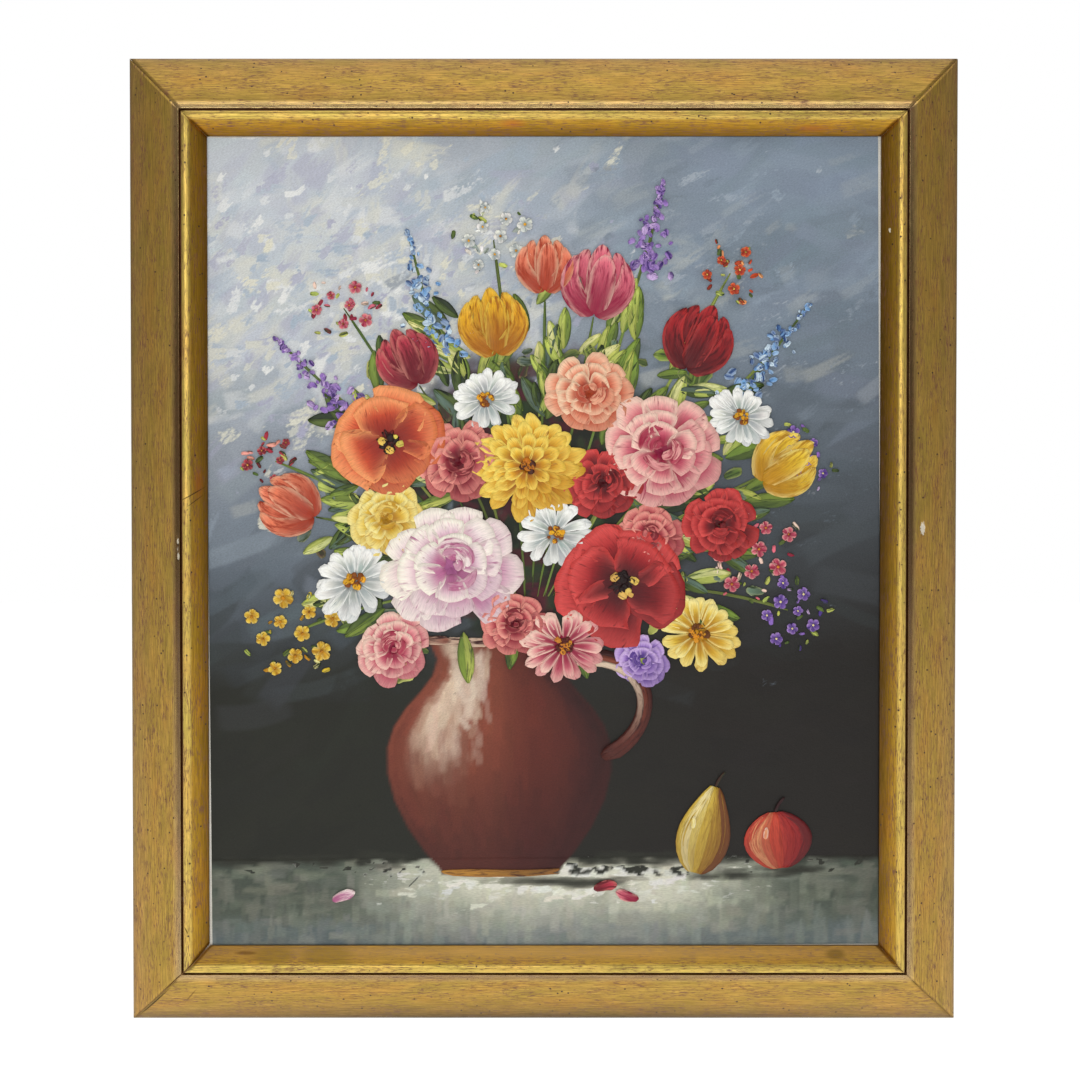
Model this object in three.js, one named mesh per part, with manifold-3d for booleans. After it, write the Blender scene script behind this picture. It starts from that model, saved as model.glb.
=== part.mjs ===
// Framed oil painting: a gilded moulding mitred into a frame, round a stretched canvas.
// Millimetres, +Z up. The picture faces -Y. The wall is the plane y = 0, and the origin is
// on the back of the top rail, halfway along it and halfway across its flat back.

import * as THREE from 'three';
import { mergeVertices } from 'three/addons/utils/BufferGeometryUtils.js';
import Module from 'manifold-3d';

const wasm = await Module();
wasm.setup();

// Canvas and stretcher
const canvasWidth = 508;
const canvasHeight = 610;
const clothThickness = 0.8;
const turnoverWidth = 20;
const stretcherDepth = 19;
const barWidth = 38;
const barRelief = 1.5;
const clothGap = 0.3;

// How the canvas sits in the frame
const lipOverlap = 6;
const rabbetClearance = 3;
const cornerSlack = 0.9;
const shelfGap = 0.5;

// Frame rail, across the moulding from the sight edge outwards
const railWidth = 61.5;
const bevelRun = 10.8;
const beadWidth = 6;
const grooveWidth = 2.4;
const coveWidth = 5.4;
const jointGap = 0.3;

// Frame rail, heights in front of the wall
const rabbetDepth = 26;
const lipThickness = 1.5;
const beadHeight = 38;
const coveHeight = 35.2;
const faceHeight = 31.2;
const edgeHeight = 13;

// Small shapes of the moulding
const beadRound = 1.4;
const beadCrown = 0.5;
const beadWall = 0.9;
const grooveDepth = 3.4;
const edgeRound = 4;
const edgeRise = 2;
const faceSwell = 10;
const outerSlope = 0.7;
const innerSlope = 0.25;
const backChamfer = 1;
const curvePoints = 10;

// What follows from those sizes
const sightWidth = canvasWidth - 2 * lipOverlap;
const sightHeight = canvasHeight - 2 * lipOverlap;
const rabbetWidth = lipOverlap + rabbetClearance;
const backWidth = railWidth - rabbetWidth;
const frameHeight = sightHeight + 2 * railWidth;
const frameCentreZ = backWidth / 2 - frameHeight / 2;

// The canvas has slipped round in its rabbet, anticlockwise from the front, until its
// corners are cornerSlack from the wood.
const slip = rabbetClearance - cornerSlack;
const canvasTurn = Math.atan(slip / (Math.max(canvasWidth, canvasHeight) / 2));

const gilding = { color: 0xa98a45, roughness: 0.42, metalness: 0.85 };
const paintedCloth = { color: 0x6f7a80, roughness: 0.5, metalness: 0 };
const softwood = { color: 0xc9a878, roughness: 0.75, metalness: 0 };

// The moulding's section. x is the distance outwards from the sight edge, and y is the
// height in front of the wall.
function railSection() {
  const beadInner = bevelRun;
  const beadOuter = beadInner + beadWidth;
  const grooveOuter = beadOuter + grooveWidth;
  const coveOuter = grooveOuter + coveWidth;
  const grooveFloor = coveHeight - grooveDepth;
  const section = new THREE.Shape();
  section.moveTo(rabbetWidth, 0);
  section.lineTo(railWidth - backChamfer, 0);
  section.lineTo(railWidth, backChamfer);
  section.lineTo(railWidth, edgeHeight - edgeRound);
  // rounded outer edge that runs smoothly into the face
  const faceOuter = railWidth - edgeRound;
  const faceFoot = edgeHeight + edgeRise;
  section.quadraticCurveTo(railWidth, faceFoot - edgeRound * outerSlope, faceOuter, faceFoot);
  // broad face, full at its outer side and nearly flat beside the cove
  section.bezierCurveTo(
    faceOuter - faceSwell, faceFoot + faceSwell * outerSlope,
    coveOuter + faceSwell, faceHeight - faceSwell * innerSlope,
    coveOuter, faceHeight,
  );
  // small cove that climbs to the groove
  section.quadraticCurveTo(grooveOuter + coveWidth / 3, faceHeight + beadWall, grooveOuter, coveHeight);
  // groove
  section.lineTo(grooveOuter - grooveWidth / 3, grooveFloor);
  section.lineTo(beadOuter + grooveWidth / 3, grooveFloor);
  section.lineTo(beadOuter, beadHeight - beadRound - beadWall);
  // bead
  section.quadraticCurveTo(beadOuter, beadHeight - beadCrown, beadOuter - beadRound, beadHeight - beadCrown / 2);
  section.quadraticCurveTo(
    beadInner + beadWidth / 2, beadHeight + beadCrown / 2,
    beadInner + beadRound, beadHeight - beadCrown / 2,
  );
  section.quadraticCurveTo(beadInner, beadHeight - beadCrown, beadInner - beadRound / 2, beadHeight - beadRound);
  // inner bevel down to the lip, and the rabbet behind it
  section.lineTo(0, rabbetDepth + lipThickness);
  section.lineTo(0, rabbetDepth);
  section.lineTo(rabbetWidth, rabbetDepth);
  section.closePath();
  return section;
}

// A stretcher bar's section. x runs outwards from the bar's inner edge, and y is the
// height in front of the bar's back. The front slopes back inwards, off the cloth.
function barSection(depth) {
  const section = new THREE.Shape();
  section.moveTo(0, 0);
  section.lineTo(barWidth, 0);
  section.lineTo(barWidth, depth);
  section.lineTo(0, depth - barRelief);
  section.closePath();
  return section;
}

// A straight length of a section, cut to a mitre at both ends. innerLength is the length
// at x = 0, and each millimetre of x makes it longer by one at both ends.
function mitredLength(section, innerLength) {
  const geometry = new THREE.ExtrudeGeometry(section, {
    depth: 1,
    bevelEnabled: false,
    curveSegments: curvePoints,
  });
  const position = geometry.attributes.position;
  for (let i = 0; i < position.count; i += 1) {
    const side = position.getZ(i) > 0.5 ? 1 : -1;
    const halfLength = innerLength / 2 + position.getX(i) - jointGap / 2;
    position.setZ(i, side * halfLength);
  }
  geometry.computeVertexNormals();
  return geometry;
}

// Four mitred lengths round an opening. Each is made lying along Z with its section in
// x and y, then turned so that x points away from the opening's middle and y to the front.
function mitredFrame(names, section, openingWidth, openingHeight, finish) {
  const sides = [
    { name: names.top, turn: 0, inner: openingWidth, away: openingHeight / 2 },
    { name: names.left, turn: Math.PI / 2, inner: openingHeight, away: openingWidth / 2 },
    { name: names.bottom, turn: Math.PI, inner: openingWidth, away: openingHeight / 2 },
    { name: names.right, turn: -Math.PI / 2, inner: openingHeight, away: openingWidth / 2 },
  ];
  const frame = new THREE.Group();
  for (const side of sides) {
    const geometry = mitredLength(section, side.inner);
    // section x to +Z, section y to -Y, length to +X
    geometry.applyMatrix4(new THREE.Matrix4().makeBasis(
      new THREE.Vector3(0, 0, 1),
      new THREE.Vector3(0, -1, 0),
      new THREE.Vector3(1, 0, 0),
    ));
    geometry.translate(0, 0, side.away);
    const mesh = new THREE.Mesh(geometry, new THREE.MeshStandardMaterial(finish));
    mesh.name = side.name;
    mesh.rotation.y = -side.turn;
    frame.add(mesh);
  }
  return frame;
}

// A closed three.js geometry as a solid that can be cut.
function toSolid(geometry) {
  const bare = geometry.clone();
  bare.deleteAttribute('normal');
  bare.deleteAttribute('uv');
  const merged = mergeVertices(bare);
  return new wasm.Manifold(new wasm.Mesh({
    numProp: 3,
    vertProperties: new Float32Array(merged.attributes.position.array),
    triVerts: new Uint32Array(merged.index.array),
  }));
}

// A cut solid as a flat-shaded three.js geometry.
function toGeometry(solid) {
  const mesh = solid.getMesh();
  const indexed = new THREE.BufferGeometry();
  indexed.setAttribute('position', new THREE.Float32BufferAttribute(mesh.vertProperties, 3));
  indexed.setIndex(new THREE.Uint32BufferAttribute(mesh.triVerts, 1));
  const geometry = indexed.toNonIndexed();
  geometry.computeVertexNormals();
  return geometry;
}

// A box that is inset all round from the canvas's outline and runs from y = front to
// y = back.
function insetBox(inset, front, back) {
  const box = new THREE.BoxGeometry(canvasWidth - 2 * inset, back - front, canvasHeight - 2 * inset);
  box.translate(0, (front + back) / 2, 0);
  return toSolid(box);
}

// The canvas: front, four sides and a turnover behind, one cloth thick all over.
function canvasSheet() {
  const room = insetBox(clothThickness, clothThickness, stretcherDepth - clothThickness);
  const opening = insetBox(turnoverWidth, stretcherDepth / 2, stretcherDepth * 2);
  const sheet = insetBox(0, 0, stretcherDepth).subtract(room).subtract(opening);
  const mesh = new THREE.Mesh(toGeometry(sheet), new THREE.MeshStandardMaterial(paintedCloth));
  mesh.name = 'canvas';
  return mesh;
}

// The stretched canvas: its origin is in the middle of the cloth's front.
function stretchedCanvas() {
  const clothAndGap = clothThickness + clothGap;
  const barDepth = stretcherDepth - 2 * clothAndGap;
  const openingWidth = canvasWidth - 2 * (clothAndGap + barWidth);
  const openingHeight = canvasHeight - 2 * (clothAndGap + barWidth);
  const names = { top: 'bar_top', bottom: 'bar_bottom', left: 'bar_left', right: 'bar_right' };
  const bars = mitredFrame(names, barSection(barDepth), openingWidth, openingHeight, softwood);
  bars.position.y = stretcherDepth - clothAndGap;
  const stretched = new THREE.Group();
  stretched.add(canvasSheet(), bars);
  return stretched;
}

function framedPainting() {
  const names = { top: 'rail_top', bottom: 'rail_bottom', left: 'rail_left', right: 'rail_right' };
  const frame = mitredFrame(names, railSection(), sightWidth, sightHeight, gilding);
  const stretched = stretchedCanvas();
  stretched.position.y = -(rabbetDepth - shelfGap);
  stretched.rotation.y = -canvasTurn;
  const painting = new THREE.Group();
  painting.add(frame, stretched);
  painting.position.z = frameCentreZ;
  return painting;
}

export default framedPainting();
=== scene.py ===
import math
import random

import bmesh
import bpy
import numpy as np
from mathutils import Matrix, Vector, noise


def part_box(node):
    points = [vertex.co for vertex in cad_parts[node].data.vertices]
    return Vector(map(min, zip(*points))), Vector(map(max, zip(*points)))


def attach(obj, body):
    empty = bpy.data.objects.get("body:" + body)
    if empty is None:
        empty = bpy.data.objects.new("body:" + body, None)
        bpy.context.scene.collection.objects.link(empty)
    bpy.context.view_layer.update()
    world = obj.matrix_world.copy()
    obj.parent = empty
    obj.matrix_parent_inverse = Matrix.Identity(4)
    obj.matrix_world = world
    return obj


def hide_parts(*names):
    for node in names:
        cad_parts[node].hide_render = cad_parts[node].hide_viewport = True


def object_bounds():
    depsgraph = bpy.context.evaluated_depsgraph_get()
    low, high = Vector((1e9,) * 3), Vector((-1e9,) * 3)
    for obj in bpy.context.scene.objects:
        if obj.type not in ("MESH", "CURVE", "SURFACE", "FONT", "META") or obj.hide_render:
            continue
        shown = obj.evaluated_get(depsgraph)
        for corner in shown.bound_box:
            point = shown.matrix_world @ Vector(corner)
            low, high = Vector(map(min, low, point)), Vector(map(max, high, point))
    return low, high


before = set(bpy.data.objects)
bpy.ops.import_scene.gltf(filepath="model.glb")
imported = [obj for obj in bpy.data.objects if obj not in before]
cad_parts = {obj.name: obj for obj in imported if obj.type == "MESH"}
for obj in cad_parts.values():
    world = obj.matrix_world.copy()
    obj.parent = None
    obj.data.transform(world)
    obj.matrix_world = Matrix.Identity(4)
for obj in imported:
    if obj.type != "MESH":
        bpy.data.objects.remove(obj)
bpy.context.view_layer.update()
mm = 0.001
print("frame loaded")


def linear(hexColour):  # sRGB hex to linear RGBA
    parts = [int(hexColour[i:i + 2], 16) / 255 for i in (1, 3, 5)]
    return tuple(c / 12.92 if c <= 0.04045 else ((c + 0.055) / 1.055) ** 2.4 for c in parts) + (1.0,)


def asColour(value):  # a hex colour, a grey or a linear colour, as linear RGBA
    if isinstance(value, str):
        return linear(value)
    return value if isinstance(value, tuple) else (value, value, value, 1.0)


def palette(**tones):
    return {name: linear(tone) for name, tone in tones.items()}


def readRows(names, rows):  # one dictionary for each row; a short row leaves out the last names
    return [dict(zip(names, row)) for row in rows]


def mix(a, b, share):
    return tuple(p + (q - p) * share for p, q in zip(a, b))


def smooth(low, high, value):
    t = min(1.0, max(0.0, (value - low) / (high - low)))
    return t * t * (3 - 2 * t)


def bezier(points, t):  # the point at t on the curve that these points steer
    while len(points) > 1:
        points = [mix(a, b, t) for a, b in zip(points, points[1:])]
    return points[0]


def addNode(tree, kind, inputs=None, stops=None, **settings):  # a node as input means its first output
    node = tree.nodes.new("ShaderNode" + kind)
    for name, value in settings.items():
        setattr(node, name, value)
    for name, value in (inputs or {}).items():
        if isinstance(value, bpy.types.Node):
            value = value.outputs[0]
        if isinstance(value, bpy.types.NodeSocket):
            tree.links.new(value, node.inputs[name])
        else:
            node.inputs[name].default_value = value
    if stops:
        elements = node.color_ramp.elements
        elements.remove(elements[1])
        for number, (place, colour) in enumerate(stops):
            element = elements.new(place) if number else elements[0]
            element.position = place
            element.color = asColour(colour)
    return node


def newMaterial(name):
    material = bpy.data.materials.new(name)
    material.use_nodes = True
    material.node_tree.nodes.clear()
    return material, material.node_tree


def makePiece(name, bm, materials, stands=()):
    mesh = bpy.data.meshes.new(name)
    bm.to_mesh(mesh)
    bm.free()
    mesh.shade_smooth()
    piece = bpy.data.objects.new(name, mesh)
    bpy.context.collection.objects.link(piece)
    for material in materials:
        mesh.materials.append(material)
    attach(piece, "root")
    if stands:
        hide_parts(*stands)
    return piece


# Where things are, in mm: out from the wall is -Y

rails = ("top", "bottom", "left", "right")
railLow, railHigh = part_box("rail_left")
sight = {
    "left": railHigh.x / mm,
    "right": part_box("rail_right")[0].x / mm,
    "top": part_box("rail_top")[0].z / mm,
    "bottom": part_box("rail_bottom")[1].z / mm,
}
sightWidth = sight["right"] - sight["left"]
sightHeight = sight["top"] - sight["bottom"]
middleX = (sight["left"] + sight["right"]) / 2
middleZ = (sight["top"] + sight["bottom"]) / 2


# Gilded moulding

moulding = {  # mm; out is from the sight edge outwards, height from the wall forwards
    "railWidth": (railHigh.x - railLow.x) / mm, "rabbetWidth": 9, "rabbetDepth": 26, "lip": 1.5,
    "bevelRun": 10.8, "beadWidth": 6, "beadHeight": 38, "beadRound": 1.4, "beadCrown": 0.5,
    "grooveWidth": 2.4, "grooveFloor": 31.8, "coveWidth": 5.4, "coveHeight": 35.2,
    "faceHeight": 31.2, "swell": 10, "outerSlope": 0.7, "innerSlope": 0.25,
    "edgeRound": 4, "edgeHeight": 13, "edgeRise": 2, "chamfer": 1,
    "step": 3.2, "fine": 1.3, "jointGap": 0.3, "wobble": 0.11,
}

damages = readRows(("rail", "along", "out", "length", "width", "depth"), (  # chips down to the white ground
    ("left", 1.0, 20.6, 3.6, 2.4, 0.7),
    ("left", -4.0, 20.9, 2.6, 2.2, 0.6),
    ("left", -9.6, 20.4, 6.0, 2.8, 0.8),
    ("right", 10.5, 31.1, 11.0, 4.6, 0.5),
    ("right", 229.0, 5.4, 2.2, 2.0, 0.4),
    ("left", -262.0, 17.2, 3.4, 1.6, 0.5),
))
# Long runs first: painted shade on the side and bottom coves, next to the sight edge and on the bottom rail's
# outer edge, a darker olive band on the bottom face and a painted highlight along the bottom bevel; then
# stains,
# rubbed red places and scratches: places and half sizes in mm along and across the section, the turn in
# degrees, how strong each is and how far in from its edge it fades
stainsAndPaintedLight = readRows(("rail", "along", "across", "length", "width", "turn", "tone", "depth", "fade"), (
    # painted shade on the coves of the side and bottom rails, while the top cove stays bright
    ("left", 0, 37, 520, 7, 0, "#543414", 0.85, 0.7),
    ("right", 0, 37, 520, 7, 0, "#543414", 0.85, 0.7),
    ("bottom", 0, 37, 520, 7, 0, "#6E4C20", 0.7, 0.7),
    # painted shade on the inner bevel next to the sight edge
    ("top", 0, 3, 400, 8, 0, "#5A3C14", 0.4, 0.8),
    ("right", 0, 3, 420, 10, 0, "#40280A", 0.62, 0.8),
    ("left", 0, 2, 420, 7, 0, "#4E320C", 0.35, 0.8),
    # painted shade along the bottom rail's outer edge
    ("bottom", 0, 87, 560, 22, 0, "#3A2604", 1, 0.9),
    ("bottom", 0, 66, 480, 12, 0, "#8A6820", 0.3, 0.9),
    # a painted highlight along the bottom bevel
    ("bottom", 0, 6, 480, 10, 0, "#CDA25C", 0.6, 0.8),
    # stains, rubbed red places and scratches
    ("top", -23, 12, 12, 4.5, 0, "#B45A28", 0.5, 0.8),
    ("top", 196, 8, 16, 4, 0, "#A85426", 0.4, 0.8),
    ("bottom", -220, 7, 10, 1.8, 0, "#6E4A20", 0.7, 0.5),
    ("bottom", -199, 9, 18, 8, 0, "#866A22", 0.5, 0.45),
    ("bottom", -160, 9, 23, 9, 0, "#886C24", 0.5, 0.45),
    ("bottom", 215, 8, 9, 5, 0, "#6A5022", 0.6, 0.5),
    ("left", 44, 9, 15, 5, 0, "#A85426", 0.5, 0.8),
    ("left", 36, 14, 13, 0.5, 116, "#3C2410", 0.85, 0.4),
    ("left", 31, 12, 9, 0.4, 122, "#3C2410", 0.8, 0.4),
    ("left", -284, 20, 3.4, 0.6, 30, "#3C2410", 0.8, 0.4),
    ("bottom", -262, 57, 9, 0.7, 127, "#6E4E24", 0.65, 0.5),
    ("bottom", -292, 64, 19, 2.2, 133, "#8C7C48", 0.6, 0.5),
    ("bottom", -290, 64, 21, 0.6, 133, "#3C2812", 0.85, 0.4),
))
openMitres = {("left", -1): 0.9, ("bottom", -1): 0.5}  # mm that a joint stands open at the sight edge


def mouldingSection():  # (out, height, distance along the section, gilded or not)
    m = moulding
    lipFront = m["rabbetDepth"] + m["lip"]
    beadOut = m["bevelRun"] + m["beadWidth"]
    grooveOut = beadOut + m["grooveWidth"]
    coveOut = grooveOut + m["coveWidth"]
    faceOut = m["railWidth"] - m["edgeRound"]
    faceFoot = m["edgeHeight"] + m["edgeRise"]
    beadTop = m["beadHeight"] - m["beadCrown"] / 2
    beadSide = m["beadHeight"] - m["beadCrown"]
    turns = [  # each starts where the last one ends
        [(0, lipFront - 0.4)],
        [(0, lipFront), (0.4, lipFront + 0.35)],
        [(m["bevelRun"] - m["beadRound"] / 2, m["beadHeight"] - m["beadRound"])],
        [(m["bevelRun"], beadSide), (m["bevelRun"] + m["beadRound"], beadTop)],
        [(m["bevelRun"] + m["beadWidth"] / 2, m["beadHeight"] + m["beadCrown"] / 2),
         (beadOut - m["beadRound"], beadTop)],
        [(beadOut, beadSide), (beadOut, m["beadHeight"] - 2.3)],
        [(beadOut + m["grooveWidth"] / 2, m["grooveFloor"] - 1.6), (grooveOut - 0.4, m["coveHeight"] - 0.9)],
        [(grooveOut - 0.2, m["coveHeight"] + 0.1), (grooveOut + 0.5, m["coveHeight"] - 0.7)],
        [(grooveOut + 2.8, m["faceHeight"] + 1.3), (coveOut, m["faceHeight"])],
        [(coveOut + m["swell"], m["faceHeight"] - m["swell"] * m["innerSlope"]),
         (faceOut - m["swell"], faceFoot + m["swell"] * m["outerSlope"]), (faceOut, faceFoot)],
        [(m["railWidth"], faceFoot - m["edgeRound"] * m["outerSlope"]),
         (m["railWidth"], m["edgeHeight"] - m["edgeRound"])],
        [(m["railWidth"], m["chamfer"])],
    ]
    section, travelled = [], 0.0
    start = (0, m["rabbetDepth"])
    for turning in turns:
        curve = [start, *turning]
        start = turning[-1]
        span = sum(math.dist(a, b) for a, b in zip(curve, curve[1:]))
        steps = max(5 if len(curve) > 2 else 1, round(span / m["fine"]))
        for step in range(steps):
            section.append([*bezier(curve, step / steps), travelled + span * step / steps, True])
        travelled += span
    return section + [
        [m["railWidth"], m["chamfer"], travelled, True],
        [m["railWidth"] - m["chamfer"], 0, travelled + 2, False],
        [m["rabbetWidth"], 0, travelled + 50, False],
        [m["rabbetWidth"], m["rabbetDepth"], travelled + 75, False],
    ]


def placeOnRail(side, along, out, height):  # along runs right on the top and bottom rails, up on the others
    places = {
        "top": (middleX + along, sight["top"] + out),
        "bottom": (middleX + along, sight["bottom"] - out),
        "left": (sight["left"] - out, middleZ + along),
        "right": (sight["right"] + out, middleZ + along),
    }
    x, z = places[side]
    return Vector((x * mm, -height * mm, z * mm))


def makeRail(side, number, materials):
    m = moulding
    half = (sightWidth if side in ("top", "bottom") else sightHeight) / 2
    steps = round(2 * half / m["step"])
    section = mouldingSection()
    known = {(round(out, 3), round(height, 3)): rest for out, height, *rest in section}
    bm = bmesh.new()
    ring = [bm.verts.new((-1, out, height)) for out, height, *_ in section]
    edges = [bm.edges.new((a, b)) for a, b in zip(ring, ring[1:] + ring[:1])]
    bmesh.ops.spin(bm, geom=ring + edges, cent=(0, 0, 0), axis=(1, 0, 0), dvec=(2 / steps, 0, 0),
                   angle=0, steps=steps, use_merge=False, use_duplicate=False)
    grain = bm.verts.layers.float_vector.new("grain")
    bare = bm.verts.layers.float.new("bare")
    gilt = {}
    for vert in bm.verts:
        share, out, height = vert.co
        travelled, gilded = known[(round(out, 3), round(height, 3))]
        gilt[vert] = gilded
        end = round(share)
        opened = openMitres.get((side, end), 0) * abs(share) ** 30 * max(0, 1 - out / m["railWidth"])
        along = share * (half + out - m["jointGap"] / 2 - opened)
        vert[grain] = (along, travelled, number)
        if gilded and height < m["beadHeight"]:
            broad = noise.noise((along / 34, travelled / 11, number * 7.3))
            small = noise.noise((along / 6, travelled / 2.6, number * 3.1))
            height += m["wobble"] * (broad + 0.35 * small)
        vert.co = (along, out, height)
    bmesh.ops.holes_fill(bm, edges=[e for e in bm.edges if e.is_boundary], sides=0)
    for face in bm.faces:
        gildedFace = len(face.verts) == 4 and sum(gilt[v] for v in face.verts) > 2
        face.material_index = 0 if gildedFace else 1
    for chip in [d for d in damages if d["rail"] == side]:
        reach = chip["length"]
        near = [
            e for e in bm.edges
            if all(abs(v.co.x - chip["along"]) < reach and abs(v.co.y - chip["out"]) < reach * 0.7 + 1.5
                   and v[grain][1] < 90 for v in e.verts)
        ]
        bmesh.ops.subdivide_edges(bm, edges=near, cuts=4, use_grid_fill=True)
        for vert in bm.verts:
            ax = (vert.co.x - chip["along"]) / reach * 2
            ay = (vert.co.y - chip["out"]) / chip["width"] * 2
            ragged = 0.45 * noise.noise((vert.co.x * 0.9, vert.co.y * 1.3, number))
            inside = 1 - smooth(0.62, 1.0, math.hypot(ax, ay) + ragged)
            if inside > 0 and vert.co.z > 5:
                vert[bare] = max(vert[bare], inside)
                vert.co.z -= chip["depth"] * inside
    for vert in bm.verts:
        vert.co = placeOnRail(side, vert.co.x, vert.co.y, vert.co.z)
    bmesh.ops.recalc_face_normals(bm, faces=bm.faces)
    return makePiece(f"{side}Moulding", bm, materials, [f"rail_{side}"])


def makeWornGold():  # thin metal leaf over red clay, toned and rubbed, with painted shade and painted highlights across its section: warm, streaky, half shiny
    material, tree = newMaterial("wornGoldLeaf")
    place = addNode(tree, "Attribute", attribute_name="grain").outputs["Vector"]
    bare = addNode(tree, "Attribute", attribute_name="bare").outputs["Fac"]
    split = addNode(tree, "SeparateXYZ", {"Vector": place})
    # the colour across the section, from the sight edge to the outer side: 100 mm; darker at the sight edge
    # as painted shade, light on the bead, dark in the groove, lightest on the cove as a painted highlight,
    # and darker towards the outer edge
    across = addNode(tree, "Math", {0: split.outputs["Y"], 1: 0.01}, operation="MULTIPLY")
    bands = addNode(tree, "ValToRGB", {"Fac": across}, stops=[
        (0.0, "#785412"), (0.03, "#90681E"), (0.09, "#A67A22"), (0.145, "#B48A30"),
        (0.165, "#D0AE58"), (0.225, "#D4B460"), (0.25, "#8A6232"), (0.30, "#5E3C22"),
        (0.33, "#6E4A2A"), (0.352, "#E0C088"), (0.40, "#D6B274"), (0.44, "#B69248"),
        (0.62, "#B89246"), (0.78, "#B89250"), (0.84, "#9C7E48"), (0.90, "#8C6E3E"),
        (1.0, "#7A5A38"),
    ])
    # long rubbed streaks: 0.5 mm apart on the real one, drawn 1.1 mm apart so that they show
    streakPlace = addNode(tree, "Mapping", {"Vector": place, "Scale": (0.045, 1.05, 4.0)})
    streaks = addNode(tree, "TexNoise", {"Vector": streakPlace, "Scale": 1, "Detail": 6, "Roughness": 0.72})
    streakShade = addNode(tree, "MapRange", {
        "Value": streaks, "From Min": 0.36, "From Max": 0.64, "To Min": 0.66, "To Max": 1.32,
    })
    streaked = addNode(tree, "VectorMath", {0: bands, "Scale": streakShade}, operation="SCALE")
    # clouds 40 mm long where the toner leans to olive or to red
    cloudPlace = addNode(tree, "Mapping", {"Vector": place, "Scale": (0.025, 0.07, 2.0)})
    clouds = addNode(tree, "TexNoise", {"Vector": cloudPlace, "Scale": 1.0, "Detail": 4.0})
    cloudTone = addNode(tree, "ValToRGB", {"Fac": clouds}, stops=[
        (0.36, (0.88, 0.94, 0.84, 1)), (0.5, (0.98, 1.0, 0.96, 1)), (0.66, (1.0, 0.94, 0.90, 1)),
    ])
    clouded = addNode(tree, "Mix", {0: 1.0, 6: streaked, 7: cloudTone},
                      data_type="RGBA", blend_type="MULTIPLY")
    # red clay where the leaf is rubbed through, in dashes 0.8 mm wide and up to 10 mm long, thicker in places
    clayPlace = addNode(tree, "Mapping", {"Vector": place, "Scale": (0.16, 1.2, 9.0)})
    clayNoise = addNode(tree, "TexNoise", {"Vector": clayPlace, "Scale": 1, "Detail": 5, "Roughness": 0.7})
    wearPlace = addNode(tree, "Mapping", {"Vector": place, "Scale": (0.03, 0.12, 5.0)})
    wear = addNode(tree, "TexNoise", {"Vector": wearPlace, "Scale": 1.0, "Detail": 3.0})
    worn = addNode(tree, "MapRange", {
        "Value": wear, "From Min": 0.3, "From Max": 0.7, "To Min": -0.06, "To Max": 0.06,
    })
    clayLevel = addNode(tree, "Math", {0: clayNoise, 1: worn}, operation="ADD")
    clayShare = addNode(tree, "MapRange", {
        "Value": clayLevel, "From Min": 0.52, "From Max": 0.61, "To Max": 0.9,
    })
    clayed = addNode(tree, "Mix", {0: clayShare, 6: clouded.outputs[2], 7: linear("#74492F")},
                     data_type="RGBA")
    # fly specks, 1 to 1.5 mm, far apart
    specks = addNode(tree, "TexVoronoi", {"Vector": place, "Scale": 0.15})
    speckSize = addNode(tree, "MapRange", {
        "Value": specks, "From Min": 0.08, "From Max": 0.14, "To Min": 1.0, "To Max": 0.0,
    })
    speckPick = addNode(tree, "SeparateColor", {"Color": specks.outputs["Color"]})
    chosen = addNode(tree, "Math", {0: speckPick, 1: 0.5}, operation="GREATER_THAN")
    speckShare = addNode(tree, "Math", {0: speckSize, 1: chosen}, operation="MULTIPLY")
    markedGold = addNode(tree, "Mix", {0: speckShare, 6: clayed.outputs[2], 7: linear("#3A1D10")},
                      data_type="RGBA")
    # painted shade and painted highlights in long runs, then stains, rubbed red places and scratches, each an
    # ellipse with a ragged edge
    for tonePatch in stainsAndPaintedLight:
        off = addNode(tree, "Mapping", {
            "Vector": place, "Location": (tonePatch["along"], tonePatch["across"], rails.index(tonePatch["rail"])),
            "Rotation": (0, 0, math.radians(tonePatch["turn"])), "Scale": (tonePatch["length"], tonePatch["width"], 0.4),
        }, vector_type="TEXTURE")
        away = addNode(tree, "VectorMath", {0: off}, operation="LENGTH")
        ragged = addNode(tree, "Math", {0: away.outputs["Value"], 1: clayNoise}, operation="ADD")
        inside = addNode(tree, "MapRange", {
            "Value": ragged, "From Min": 1.5 - tonePatch["fade"], "From Max": 1.5,
            "To Min": tonePatch["depth"], "To Max": 0.0,
        })
        markedGold = addNode(tree, "Mix", {0: inside, 6: markedGold.outputs[2], 7: linear(tonePatch["tone"])},
                          data_type="RGBA")
    # chipped places show the white ground
    chipEdge = addNode(tree, "MapRange", {"Value": bare, "From Min": 0.35, "From Max": 0.6})
    colour = addNode(tree, "Mix", {0: chipEdge, 6: markedGold.outputs[2], 7: linear("#DCD2BC")},
                     data_type="RGBA")
    lost = addNode(tree, "Math", {0: clayShare, 1: speckShare}, operation="MAXIMUM")
    covered = addNode(tree, "Math", {0: lost, 1: chipEdge}, operation="MAXIMUM")
    metal = addNode(tree, "MapRange", {"Value": covered, "To Min": 0.85, "To Max": 0.2})
    # the bead and the cove are burnished, and the broad face is duller
    polish = addNode(tree, "ValToRGB", {"Fac": across}, stops=[
        (0.0, 0.36), (0.14, 0.34), (0.17, 0.4), (0.26, 0.42),
        (0.33, 0.24), (0.40, 0.26), (0.45, 0.46), (1.0, 0.5),
    ])
    dulling = addNode(tree, "Math", {0: streaks, 1: -0.2}, operation="MULTIPLY")
    dulled = addNode(tree, "Math", {0: dulling, 1: 0.1}, operation="ADD")
    rough = addNode(tree, "Math", {0: polish, 1: dulled}, operation="ADD")
    bump = addNode(tree, "Bump", {"Height": streaks, "Strength": 0.4, "Distance": 0.15 * mm})
    surface = addNode(tree, "BsdfPrincipled", {
        "Base Color": colour.outputs[2], "Metallic": metal, "Roughness": rough, "Normal": bump,
    })
    addNode(tree, "OutputMaterial", {"Surface": surface})
    return material


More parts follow.
